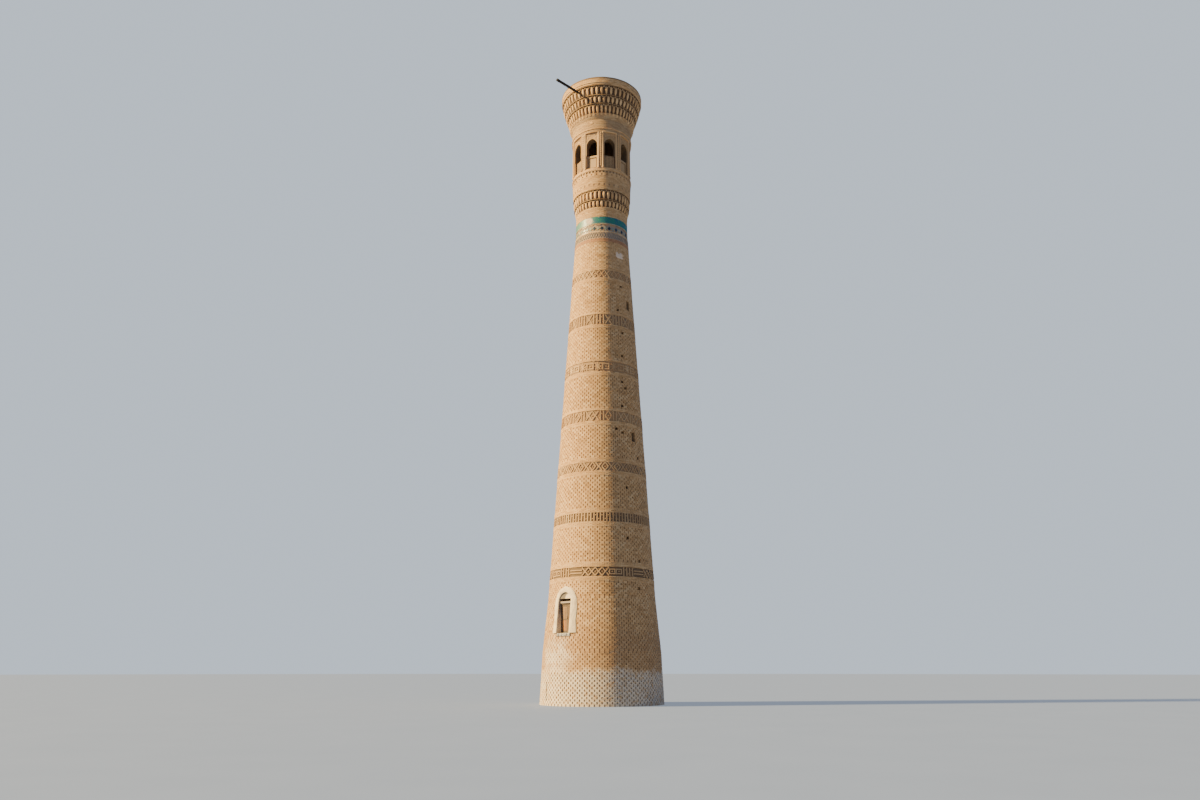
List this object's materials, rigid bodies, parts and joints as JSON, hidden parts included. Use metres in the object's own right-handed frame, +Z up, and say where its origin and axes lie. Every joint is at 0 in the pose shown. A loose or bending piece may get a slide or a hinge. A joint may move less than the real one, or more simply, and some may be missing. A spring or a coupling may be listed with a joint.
{
  "type": "brick minaret",
  "caption": "Tall tapered round brick minaret with ornamental bands, glazed belts, a raised doorway with two leaves, an arcaded lantern and a flaring corbelled cornice.",
  "frame": {"origin": "centre of the round base, on the ground", "axes": "+Z up along the tower's axis, -Y towards the front as pictured; the doorway faces 40.5 degrees from -Y towards -X"},
  "size_m": [6.85, 6.9303, 38.7],
  "materials": {
    "brick": "fired buff brick laid in pairs, matt, weathered",
    "ornament_brick": "cut and moulded brick relief, matt",
    "base_brick": "pale salt-bleached brick, matt",
    "star_tile": "pale blue and white star tiles, worn glaze",
    "turquoise_glaze": "turquoise glaze, partly lost",
    "plaster": "lime and gypsum plaster, matt",
    "stone": "grey rendered sill and floor, matt",
    "door_timber": "weathered brown boards",
    "floor_timber": "dark weathered timber"
  },
  "bodies": {
    "tower": {"base_masonry": "base_brick", "entry_floor": "stone", "entry_wall_right": "brick", "entry_wall_back": "brick", "entry_wall_left": "brick", "entry_wall_over_door": "brick", "door_surround": "plaster", "door_sill": "stone", "door_frame": "door_timber", "door_lintel": "door_timber", "door_tympanum": "plaster", "band_1": "ornament_brick", "drum_1": "brick", "band_2": "ornament_brick", "drum_2": "brick", "band_3": "ornament_brick", "drum_3": "brick", "band_4": "ornament_brick", "drum_4": "brick", "band_5": "ornament_brick", "drum_5": "brick", "band_6": "ornament_brick", "drum_6": "brick", "band_7": "ornament_brick", "drum_7": "brick", "patterned_collar": "ornament_brick", "star_tile_belt": "star_tile", "glazed_belt": "turquoise_glaze", "neck": "brick", "lower_cornice_tier_1": "ornament_brick", "lower_cornice_tier_2": "ornament_brick", "lantern_drum": "brick", "lantern_ledge": "ornament_brick", "lantern_floor": "floor_timber", "lantern_parapet": "brick", "lantern_arcade_1": "brick", "lantern_arcade_2": "brick", "lantern_arcade_3": "brick", "lantern_arcade_4": "brick", "lantern_arcade_5": "brick", "lantern_crown": "brick", "upper_cornice_tier_1": "ornament_brick", "upper_cornice_tier_2": "ornament_brick", "upper_cornice_tier_3": "ornament_brick", "rim": "base_brick", "roof_dome": "base_brick", "rim_beam": "floor_timber"},
    "left_leaf": {"door_leaf_left": "door_timber"},
    "right_leaf": {"door_leaf_right": "door_timber"}
  },
  "joints": [
    {"name": "left_leaf_hinge", "type": "hinge", "parent": "tower", "child": "left_leaf", "pos_m": [-2.15018, -1.92472, 4.465], "axis": [0, 0, 1], "range_deg": [0, 90]},
    {"name": "right_leaf_hinge", "type": "hinge", "parent": "tower", "child": "right_leaf", "pos_m": [-1.56467, -2.4248, 4.465], "axis": [0, 0, -1], "range_deg": [0, 90]}
  ]
}
